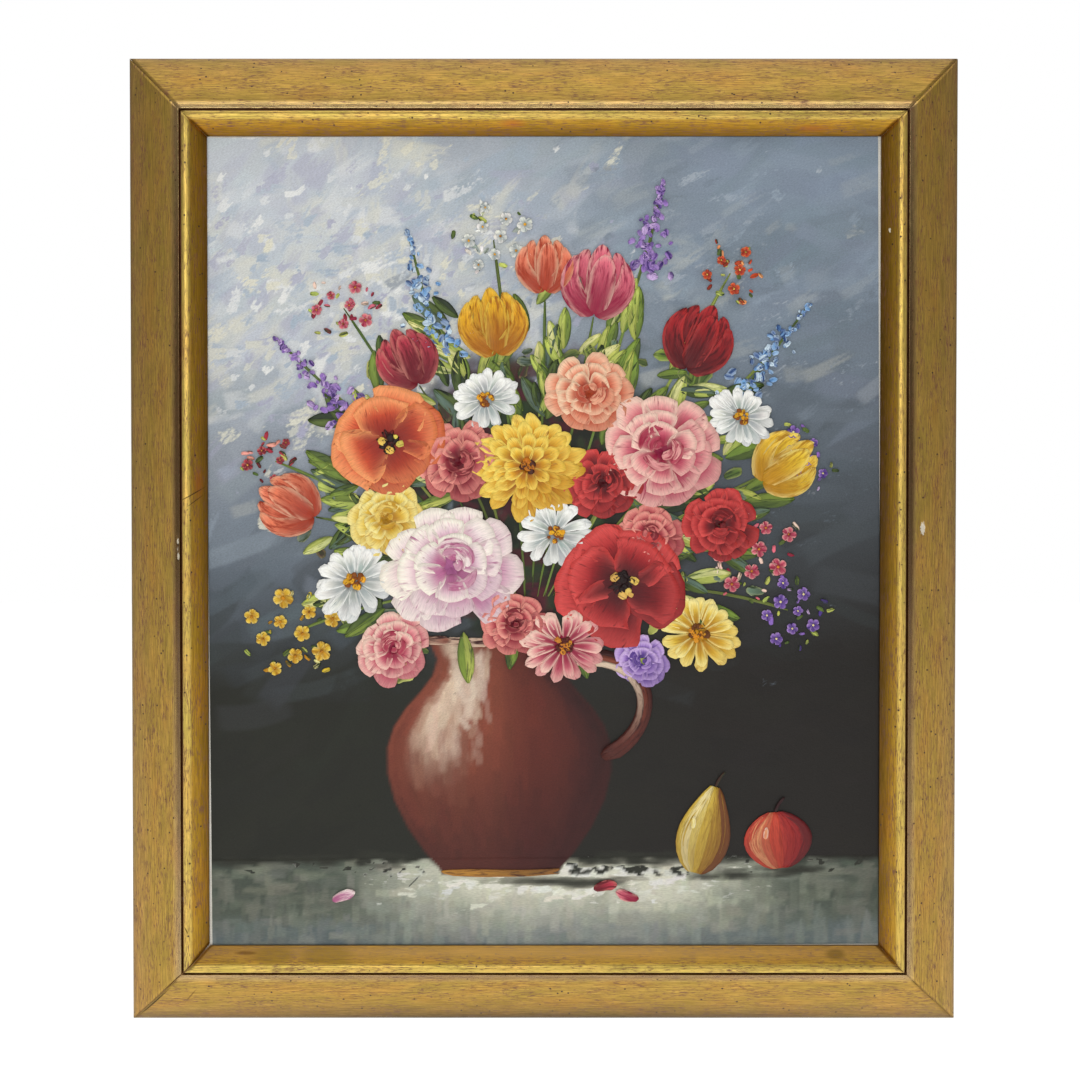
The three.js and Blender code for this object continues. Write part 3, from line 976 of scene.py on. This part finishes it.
foliage = {  # overLip is the x, z, angle and length of leaves that hang over the jug's lip
    "leaves": 210, "knifeTouches": 90,
    "overLip": ((-92, -62, 250, 34), (-60, -66, 275, 38), (-22, -64, 262, 30), (22, -66, 285, 36),
                (52, -56, 300, 42), (-118, -48, 215, 36), (84, -44, 330, 40), (2, -60, 240, 26)),
}

def paintLeaf(layer, x, z, angle, length, lift, light, middle, dark):  # two halves that meet in the midrib
    tip = polar(x, z, angle, length)
    for side, tone, border in ((-1, middle, dark), (1, light, middle)):
        bow = polar(x, z, angle + side * 15, length * 0.55)
        stroke(layer, [(x, z), bow, tip], (0.8, length * 0.16, 0.6),
               (jitter(mix(tone, dark, 0.4), 0.12), jitter(tone, 0.12), border, dark), (9, 6),
               lift=lift + 0.08 * (side + 1), thick=0.45, cover=0.6, tipRound=0.0, ragged=0.12)


def paintStem(layer, path, tone, width=0.9, lift=0.8):
    stroke(layer, path, (width, width, width * 0.6), (tone, tone, tone, greens["deep"]), (12, 5), lift=lift,
           thick=0.35, tipRound=0, ragged=0.3, cover=0.6, drop=0.5)


def paintFoliage():
    layer = {}
    choices = [tonesOf(greens, names) for names in (
        "bright leaf deep", "leaf olive deep", "lemon bright olive", "grey olive black", "olive deep black")]
    for _ in range(foliage["leaves"]):  # round the outside and between the blooms
        angle = between(-40, 220)
        x, z = polar(-4, 30, angle, between(55, 158), 0.95)
        paintLeaf(layer, x, z, angle + between(-50, 50), between(18, 40), 0.6 + between(0, 0.25),
                  *oneOf(choices))
    for _ in range(foliage["knifeTouches"]):  # broad, and pale at their tips
        x, z = polar(-4, 24, between(-60, 240), between(70, 175), 0.9)
        tone = jitter(oneOf(tonesOf(greens, "leaf bright olive grey wine")), 0.2)
        size = between(2.5, 6)
        stroke(layer, level(x, z, between(0, 360), size * 1.6, size * 0.3), (size * 0.3, size, size * 0.8),
               (mix(tone, greens["deep"], 0.5), tone, mix(tone, greens["lemon"], 0.5), greens["deep"]),
               (7, 6), lift=0.7 + 0.2 * rng.random(), thick=0.4, ragged=0.25)
    for place in foliage["overLip"]:
        tones = oneOf([choices[number] for number in (0, 1, 1, 4)])
        paintLeaf(layer, *place, 1.35, *tones)
    finishLayer("paintedFoliage", layer)


paintFoliage()


# Blooms: heart is the colour at a petal's foot, tip towards its end, rim on its edge, shade in its streaks

sorts = {  # heart, tip, rim, shade, eye and dust
    "blush": ("#B8648A", "#F4DADF", "#FFF8E6", "#A85C8C", "#7A2E14", "#E09A20"),
    "pink": ("#9C1C3C", "#E06A7C", "#FCD8C4", "#8E1C40", "#5A1E14", "#D88A28"),
    "rose": ("#6E0C1C", "#B82C42", "#F4A292", "#660E20", "#4A0E14", "#E8B050"),
    "scarlet": ("#560A12", "#A0141C", "#DC4E4A", "#4A0A12", "#1E0A0A", "#E8C060"),
    "flame": ("#96240F", "#DC4A20", "#FBA468", "#7E1A10", "#220C08", "#F2D060"),
    "gold": ("#A86202", "#ECAE06", "#FCE06A", "#A86404", "#4A1E0A", "#C07010"),
    "lemon": ("#BC840C", "#F0C834", "#FDEFA0", "#B08018", "#6A3A0C", "#D89018"),
    "white": ("#A8B0A8", "#EFEDE2", "#FFFFFA", "#8C96A0", "#8A4A10", "#F0B020"),
    "violet": ("#4E3284", "#9068BC", "#D6B8E8", "#3A2268", "#F0E0A0", "#F0E0A0"),
    "blue": ("#2C5494", "#6CA4DC", "#DCF0FA", "#244478", "#F4F0C0", "#F4F0C0"),
    "peach": ("#A83420", "#E87C58", "#FCD8B4", "#A84020", "#5A2010", "#E0A030"),
}
for name, tones in sorts.items():
    sorts[name] = dict(zip(("heart", "tip", "rim", "shade", "eye", "dust"), map(linear, tones)))


def petalTones(sort, angle, depth=0.0):  # light comes from the upper left
    s = sorts[sort]
    lit = 0.62 + 0.38 * math.cos(math.radians(angle - 125)) - depth
    tip = mix(s["shade"], s["tip"], min(1, max(0.15, lit + 0.25)))
    rim = mix(tip, s["rim"], min(1, max(0.25, lit + between(-0.05, 0.35))))
    foot = jitter(mix(s["shade"], s["heart"], 0.7), 0.12)
    return foot, jitter(tip, 0.09), rim, mix(s["shade"], s["heart"], 0.5)


def onBloom(bloom, angle, reach):  # a place on a bloom, turned and flattened with it; its radius is 1
    return polar(bloom["x"], bloom["z"], angle, reach * bloom["radius"], bloom["squash"], bloom["lean"])


petalLooks = {"turn": (0.2, 0.8), "rimFrom": 0.5, "edge": 0.95, "cover": 0.66}
bloomCounts = {"curled": 7, "anthers": 16, "florets": 90, "specks": 26}


def petal(layer, bloom, angle, inner, outer, width, lift, depth=0.0, **settings):
    r = bloom["radius"]
    path = [
        onBloom(bloom, angle, inner),
        onBloom(bloom, angle + around(0, 5), (inner + outer) / 2),
        onBloom(bloom, angle + around(0, 6), outer * between(0.93, 1.05)),
    ]
    tones = petalTones(bloom["sort"], angle + bloom["lean"], depth)
    looks = {**petalLooks, "lift": bloom["lift"] + lift, **settings}
    stroke(layer, path, (width * r * 0.3, width * r * 1.1, width * r * 0.85), tones, **looks)


def ring(layer, bloom, count, inner, outer, width, lift, depth=0.0, **settings):
    turnBy = between(0, 360)
    order = list(range(count))
    rng.shuffle(order)
    for place, pick in enumerate(order):
        angle = turnBy + 360 * (pick + between(-0.2, 0.2)) / count
        petal(layer, bloom, angle, inner, outer, width, lift + 0.1 * place / count, depth, **settings)


def paintEye(layer, bloom, reach, count, lift):
    s = sorts[bloom["sort"]]
    for pick in range(count):
        x, z = onBloom(bloom, between(0, 360), reach * math.sqrt(rng.random()))
        tone = s["eye"] if pick < count * 0.55 else jitter(s["dust"], 0.2)
        size = between(1.2, 2.4) * bloom["radius"] / 46
        stroke(layer, level(x, z, between(0, 360), size * 1.5), (size, size * 1.2, size),
               (tone, tone, tone, s["eye"]), (5, 5),
               lift=bloom["lift"] + lift + 0.25 * pick / count, thick=0.6, cover=0.62)


def paintHeart(layer, bloom, reach=0.5):  # a dark base that shows between the petals
    s = sorts[bloom["sort"]]
    for angle in range(0, 360, 60):
        tip = onBloom(bloom, angle, reach)
        width = reach * bloom["radius"]
        stroke(layer, [(bloom["x"], bloom["z"]), tip], (width * 0.3, width * 0.6, width * 0.5),
               (s["shade"], s["heart"], s["heart"], s["shade"]), (6, 6), lift=bloom["lift"] - 0.1, thick=0.3)


def paintRose(layer, bloom):
    paintHeart(layer, bloom)
    ring(layer, bloom, 9, 0.35, 1.0, 0.32, 0.0, 0.12, tipRound=0.2)
    ring(layer, bloom, 8, 0.22, 0.78, 0.30, 0.22, 0.0, tipRound=0.2)
    ring(layer, bloom, 6, 0.10, 0.55, 0.26, 0.44, -0.08, tipRound=0.22)
    s = sorts[bloom["sort"]]
    raised = {**bloom, "z": bloom["z"] + 0.06 * bloom["radius"]}
    for pick in range(bloomCounts["curled"]):  # petals that curl round the heart
        angle, reach = between(0, 360), 0.36 - 0.045 * pick
        path = [onBloom(raised, angle + by, reach * more) for by, more in ((-50, 1), (0, 1.4), (50, 1))]
        tone = mix(s["tip"], s["rim"], 0.4) if pick % 2 else mix(s["heart"], s["tip"], 0.3)
        stroke(layer, path, [bloom["radius"] * w for w in (0.05, 0.09, 0.05)],
               (tone, mix(tone, s["heart"], 0.3), mix(tone, s["rim"], 0.5), s["heart"]),
               lift=bloom["lift"] + 0.62 + 0.05 * pick, thick=0.6, ragged=0.1)


def paintPoppy(layer, bloom):
    ring(layer, bloom, 5, 0.06, 1.0, 0.56, 0.0, 0.1, cells=(11, 10), ragged=0.2, tipRound=0.3, thick=0.7)
    ring(layer, bloom, 4, 0.05, 0.82, 0.50, 0.32, 0.0, cells=(11, 10), ragged=0.2, tipRound=0.3, thick=0.7)
    s = sorts[bloom["sort"]]
    for pick in range(bloomCounts["anthers"]):  # in a dark ring
        turned = pick * 360 / bloomCounts["anthers"]
        x, z = onBloom(bloom, turned + between(-8, 8), between(0.12, 0.24))
        stroke(layer, [(bloom["x"], bloom["z"]), (x, z)], (1.5, 2.0, 0.9), (s["eye"],) * 3 + (s["shade"],),
               (6, 5), lift=bloom["lift"] + 0.7, thick=0.4)
    paintEye(layer, bloom, 0.2, 14, 0.95)


def paintMarigold(layer, bloom):
    paintHeart(layer, bloom)
    ring(layer, bloom, 17, 0.3, 1.0, 0.15, 0.0, 0.12)
    ring(layer, bloom, 15, 0.25, 0.84, 0.14, 0.2, 0.05)
    ring(layer, bloom, 13, 0.18, 0.64, 0.13, 0.38, -0.02)
    ring(layer, bloom, 9, 0.08, 0.42, 0.11, 0.54, -0.1)
    paintEye(layer, bloom, 0.14, 12, 0.8)


def paintDaisy(layer, bloom):
    paintHeart(layer, bloom, 0.32)
    ring(layer, bloom, 14, 0.2, 1.0, 0.15, 0.0, 0.1, cells=(9, 6), tipRound=0.15)
    ring(layer, bloom, 9, 0.18, 0.9, 0.13, 0.2, -0.1, cells=(9, 6), tipRound=0.15)
    paintEye(layer, bloom, 0.22, 22, 0.5)


def paintTulip(layer, bloom):  # lean is the way it points, with 0 upright
    r = bloom["radius"]

    def spot(across, up):
        return polar(bloom["x"], bloom["z"], 90 + bloom["lean"] - across, up * r)
    for pick, (across, up, width, depth) in enumerate((
            (-16, 1.5, 0.3, 0.25), (16, 1.5, 0.3, 0.3), (0, 1.62, 0.34, 0.18),
            (-30, 1.42, 0.27, 0.0), (30, 1.38, 0.27, 0.22), (4, 1.4, 0.36, -0.12))):
        tones = petalTones(bloom["sort"], 125 - across * 2, depth)
        path = [spot(0, 0.0), spot(across * 2.1, 0.75 * up), spot(across * 0.75, up)]
        stroke(layer, path, [r * w for w in (0.2, width * 1.35, 0.05)], tones, (11, 7),
               lift=bloom["lift"] + 0.1 * pick, tipRound=0.05, thick=0.6, ragged=0.06)


def paintSpike(layer, bloom):  # florets up a stalk, smaller to the tip
    s, r, lean = sorts[bloom["sort"]], bloom["radius"], bloom["lean"]
    paintStem(layer, [polar(bloom["x"], bloom["z"], 270 + lean, r * 0.9), (bloom["x"], bloom["z"]),
                      polar(bloom["x"], bloom["z"], 90 + lean, r)], greens["olive"], 0.9, bloom["lift"] - 0.1)
    for _ in range(bloomCounts["florets"]):
        share = rng.random() ** 1.3
        x, z = polar(bloom["x"], bloom["z"], 90 + lean, r * (2 * share - 1))
        spread = r * 0.4 * (1.05 - share)
        x, z = x + around(0, spread * 0.6), z + around(0, spread * 0.3)
        tone = mix(oneOf((s["tip"], s["heart"], s["rim"], s["tip"])), s["rim"], between(0, 0.35))
        size = (1.0 - 0.5 * share) * between(1.6, 3.4)
        stroke(layer, level(x, z, between(0, 360), size * 1.3, size * 0.4), (size * 0.5, size, size * 0.7),
               (mix(tone, s["heart"], 0.3), tone, mix(tone, s["rim"], 0.6), s["shade"]), (5, 5),
               lift=bloom["lift"] + 0.4 * rng.random(), thick=0.6, ragged=0.15)


def paintSpray(layer, bloom):  # five-petalled stars on thin stalks
    s, r = sorts[bloom["sort"]], bloom["radius"]
    for _ in range(bloomCounts["specks"]):  # and leaf touches, round them
        x, z = polar(bloom["x"], bloom["z"], between(0, 360), r * between(0.3, 1.25))
        tone = jitter(oneOf((greens["bright"], greens["olive"], s["tip"], s["rim"], s["heart"])), 0.15)
        size = between(0.8, 2.0)
        stroke(layer, level(x, z, between(0, 360), size * 1.9), (size * 0.6, size, size * 0.5),
               (tone, tone, tone, greens["deep"]), (5, 5),
               lift=bloom["lift"] - 0.15 + 0.2 * rng.random(), thick=0.5, ragged=0.2)
    for pick in range(bloom["stars"]):
        x, z = polar(bloom["x"], bloom["z"], 137.5 * pick, r * math.sqrt((pick + 0.4) / bloom["stars"]))
        size = r * between(0.15, 0.24)
        first = between(0, 72)
        for leaf in range(5):
            tones = petalTones(bloom["sort"], first + leaf * 72, -0.1)
            tip = polar(x, z, first + leaf * 72 + between(-8, 8), size)
            stroke(layer, [(x, z), tip], (size * 0.2, size * 0.48, size * 0.34), tones, (6, 6),
                   lift=bloom["lift"] + 0.15 + 0.04 * leaf, thick=0.5, tipRound=0.2)
        stroke(layer, level(x, z, 30, size * 0.16), (size * 0.1, size * 0.16, size * 0.1),
               (s["dust"],) * 3 + (s["eye"],), (5, 5), lift=bloom["lift"] + 0.5, thick=0.6)


painters = {
    "rose": paintRose, "poppy": paintPoppy, "marigold": paintMarigold, "daisy": paintDaisy,
    "tulip": paintTulip, "spike": paintSpike, "spray": paintSpray,
}

bloomParts = ("kind", "x", "z", "radius", "sort", "lift", "lean", "squash", "stars")
behind = readRows(bloomParts, (
    ("spike", -88, 186, 46, "blue", 0.75, 14, 1),
    ("spike", 172, 142, 42, "blue", 0.75, -38, 1),
    ("spike", -166, 122, 44, "violet", 0.75, 46, 1),
    ("spike", 82, 232, 36, "violet", 0.75, -12, 1),
    ("spray", -36, 226, 26, "white", 0.8, 0, 1, 9),
    ("spray", 152, -6, 32, "pink", 0.9, 0, 1, 9),
    ("spray", -186, -66, 34, "lemon", 0.8, 0, 1, 10),
    ("spray", 190, 60, 22, "violet", 0.8, 0, 1, 7),
    ("tulip", -34, 140, 30, "gold", 1.0, 6, 1),
    ("tulip", 38, 168, 32, "pink", 1.0, -8, 1),
    ("tulip", 106, 128, 31, "scarlet", 1.0, -24, 1),
    ("tulip", 162, 44, 29, "lemon", 1.0, -52, 1),
    ("tulip", -170, 20, 28, "peach", 1.0, 62, 1),
    ("tulip", -92, 118, 27, "rose", 1.0, 24, 1),
    ("tulip", 2, 186, 25, "peach", 0.95, 0, 1),
    ("spray", -200, 62, 20, "rose", 0.8, 0, 1, 5),
    ("spray", -148, 176, 22, "pink", 0.8, 0, 1, 6),
    ("spray", 140, 200, 20, "flame", 0.8, 0, 1, 5),
    ("spray", 182, -52, 24, "violet", 0.8, 0, 1, 8),
))
front = readRows(bloomParts, (
    ("daisy", -42, 106, 26, "white", 1.45, 15, 0.85),
    ("rose", 34, 110, 33, "peach", 1.5, -10, 0.9),
    ("rose", -62, 60, 34, "rose", 1.5, 12, 0.9),
    ("daisy", 146, 92, 26, "white", 1.5, -35, 0.8),
    ("rose", 130, 12, 30, "scarlet", 1.45, -30, 0.9),
    ("rose", -116, 18, 30, "lemon", 1.45, 30, 0.9),
    ("rose", -112, -78, 30, "pink", 1.55, 40, 0.85),
    ("rose", 44, 44, 30, "scarlet", 1.4, 8, 0.9),
    ("rose", 78, 4, 26, "rose", 1.4, -12, 0.9),
    ("daisy", 8, 6, 28, "white", 1.55, 0, 0.9),
    ("rose", -22, -60, 27, "rose", 1.65, 0, 0.85),
    ("rose", 72, -88, 22, "violet", 1.55, -20, 0.85),
    ("poppy", -114, 76, 46, "flame", 1.55, 20, 0.86),
    ("rose", 88, 66, 46, "pink", 1.55, -20, 0.92),
    ("daisy", -140, -28, 33, "white", 1.55, 40, 0.8),
    ("daisy", 114, -68, 33, "lemon", 1.65, -30, 0.8),
    ("marigold", -12, 56, 44, "gold", 1.7, 0, 0.92),
    ("poppy", 58, -32, 50, "scarlet", 1.7, -12, 0.9),
    ("rose", -68, -18, 52, "blush", 1.85, 8, 0.93),
    ("daisy", 14, -76, 32, "pink", 1.95, 0, 0.85),
))


def paintFlowers():
    outer, inner = {}, {}
    for bloom in behind:
        root = (bloom["x"] * 0.12 - 10, -40)
        bend = (bloom["x"] * 0.55, bloom["z"] * 0.45)
        tone = jitter(mix(greens["stem"], greens["olive"], rng.random()), 0.2)
        paintStem(outer, [(bloom["x"], bloom["z"]), bend, root], tone, 0.9, 0.65)
        painters[bloom["kind"]](outer, bloom)
    finishLayer("paintedOuterBlooms", outer)
    for bloom in front:
        painters[bloom["kind"]](inner, bloom)
    finishLayer("paintedInnerBlooms", inner)


paintFlowers()


# Fruit and fallen petals on the table

fruit = readRows(("x", "z", "tall", "wide", "lean", "profile", "tones"), (  # a pear, then an apple
    (118, -214, 66, 23, 14, ((0, 0.3), (0.333, 1.3), (0.667, 0.62), (1.0, 0.22)),
     ("#F4E6A0", "#D8B848", "#A8802A", "#6A3A1C", "#3A2014")),
    (172, -222, 42, 24, -6, ((0, 0.3), (0.333, 1.22), (0.667, 1.3), (1.0, 0.26)),
     ("#E39A6C", "#CC4A34", "#A02424", "#5E1418", "#2E0E10")),
))
fruitStrokes = 23
fruitLight = ((-1.2, 2), (-0.8, 1), (-0.5, 0), (-0.15, 1), (0.4, 2), (0.9, 3), (1.2, 4))  # across, tone
fallenPetals = ((44, -256, 12, "rose"), (60, -262, 160, "pink"), (-150, -262, 20, "blush"))


def paintFruit():
    layer = {}
    for piece in fruit:
        tones = [linear(tone) for tone in piece["tones"]]
        lit = [(place, tones[number]) for place, number in fruitLight]
        lean = math.radians(piece["lean"])
        sin, cos = math.sin(lean), math.cos(lean)
        for pick in range(fruitStrokes):
            side = pick / (fruitStrokes - 1) * 2 - 1
            tone = readTable(lit, side, mix)
            path = []
            for part in range(4):
                width = readTable(piece["profile"], part / 3, lambda a, b, t: a + (b - a) * t)
                reach = math.sin(side * math.pi / 2) * (piece["wide"] * width - 2)
                up = piece["tall"] * (part / 3 - 0.5)
                path.append((piece["x"] + reach * cos + up * sin, piece["z"] + up * cos - reach * sin))
            shade = mix(tone, tones[3], 0.4)
            stroke(layer, path, (1.8, 4.2, 1.4),
                   (jitter(shade, 0.08), jitter(tone, 0.08), tone, mix(tone, tones[3], 0.5)), (11, 6),
                   lift=1.1 + 0.05 * (pick % 3), thick=0.3, ragged=0.05, tipRound=0.1, ridge=0.15,
                   drop=0.35, edge=0.2)
        x, z = piece["x"] + piece["tall"] / 2 * sin, piece["z"] + piece["tall"] / 2 * cos
        paintStem(layer, [(x, z), (x + 2, z + 6), (x + 7, z + 11)], tones[4], 1.0, 1.5)
        x, z = piece["x"] - piece["wide"] * 0.4, piece["z"] + piece["tall"] * 0.02
        stroke(layer, [(x, z), (x + 1, z + 9)], (1, 2.2, 1), (tones[0], tones[0], (1, 1, 0.95, 1), tones[1]),
               lift=1.7)
    for x, z, angle, sort in fallenPetals:
        stroke(layer, level(x, z, angle, 9, 2), (2, 4.6, 3.4), petalTones(sort, 120), lift=1.3, thick=0.6)
    finishLayer("paintedFruit", layer)


paintFruit()


# Floor, light and camera: a white sweep, softboxes above and in front, and strips over the frame

studio = {  # watts for the boxes and strips
    "ambient": 0.25, "overhead": 1.0, "front": 11.0, "topStrip": 4.2, "rearStrip": 3.2, "floorGlow": 0.82,
}
floor = {"size": 9.0, "drop": 0.28}
low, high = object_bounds()
centre = (low + high) / 2
bm = bmesh.new()
bmesh.ops.create_grid(bm, x_segments=1, y_segments=1, size=floor["size"] / 2)
bmesh.ops.translate(bm, vec=(0, 0, low.z - floor["drop"]), verts=bm.verts)
floorMesh = bpy.data.meshes.new("floor")
bm.to_mesh(floorMesh)
bm.free()
floorPiece = bpy.data.objects.new("floor", floorMesh)
bpy.context.collection.objects.link(floorPiece)
paper, tree = newMaterial("whitePaper")  # plain white, with a glow of its own that evens it out
surface = addNode(tree, "BsdfPrincipled", {
    "Base Color": linear("#F4F4F2"), "Roughness": 0.9, "Emission Color": (1, 1, 1, 1),
    "Emission Strength": studio["floorGlow"],
})
addNode(tree, "OutputMaterial", {"Surface": surface})
floorMesh.materials.append(paper)

world = bpy.data.worlds.new("studio")
bpy.context.scene.world = world
world.use_nodes = True
world.node_tree.nodes.clear()
rays = addNode(world.node_tree, "LightPath")
strength = addNode(world.node_tree, "MapRange", {
    "Value": rays.outputs["Is Camera Ray"], "To Min": studio["ambient"], "To Max": 1.0,
})
backdrop = addNode(world.node_tree, "Background", {"Color": (1, 1, 1, 1), "Strength": strength})
addNode(world.node_tree, "OutputWorld", {"Surface": backdrop})


def addSoftbox(name, place, target, width, height, power):
    light = bpy.data.lights.new(name, "AREA")
    light.shape, light.size, light.size_y, light.energy = "RECTANGLE", width, height, power
    lamp = bpy.data.objects.new(name, light)
    bpy.context.collection.objects.link(lamp)
    lamp.location = place
    lamp.visible_camera = False
    lamp.rotation_euler = (Vector(target) - Vector(place)).to_track_quat("-Z", "Y").to_euler()


addSoftbox("overheadSoftbox", (0, -0.62, 1.1), (0, -0.1, centre.z), 1.8, 1.0, studio["overhead"])
addSoftbox("frontSoftbox", (-0.35, -2.2, 0.1), centre, 1.0, 0.9, studio["front"])
addSoftbox("topStrip", (0, -0.5, 0.95), (0, 0, 0), 1.6, 0.5, studio["topStrip"])
addSoftbox("rearStrip", (0, 0.3, 0.9), centre, 1.4, 0.35, studio["rearStrip"])

view = {  # matched to the photograph's corners; distances in m, angles in degrees
    "place": (-0.0125, -1.039, -0.2467), "pitch": -0.79, "focal": 1372 / 1080, "shift": (0.012, -0.09),
}
camera = bpy.data.cameras.new("camera")
camera.sensor_width = 36
camera.lens = 36 * view["focal"]
camera.shift_x, camera.shift_y = view["shift"]
cameraPiece = bpy.data.objects.new("camera", camera)
bpy.context.collection.objects.link(cameraPiece)
cameraPiece.location = view["place"]
cameraPiece.rotation_euler = (math.radians(90 + view["pitch"]), 0, 0)
bpy.context.scene.camera = cameraPiece
bpy.context.scene.view_settings.view_transform = "Standard"
print("studio made")
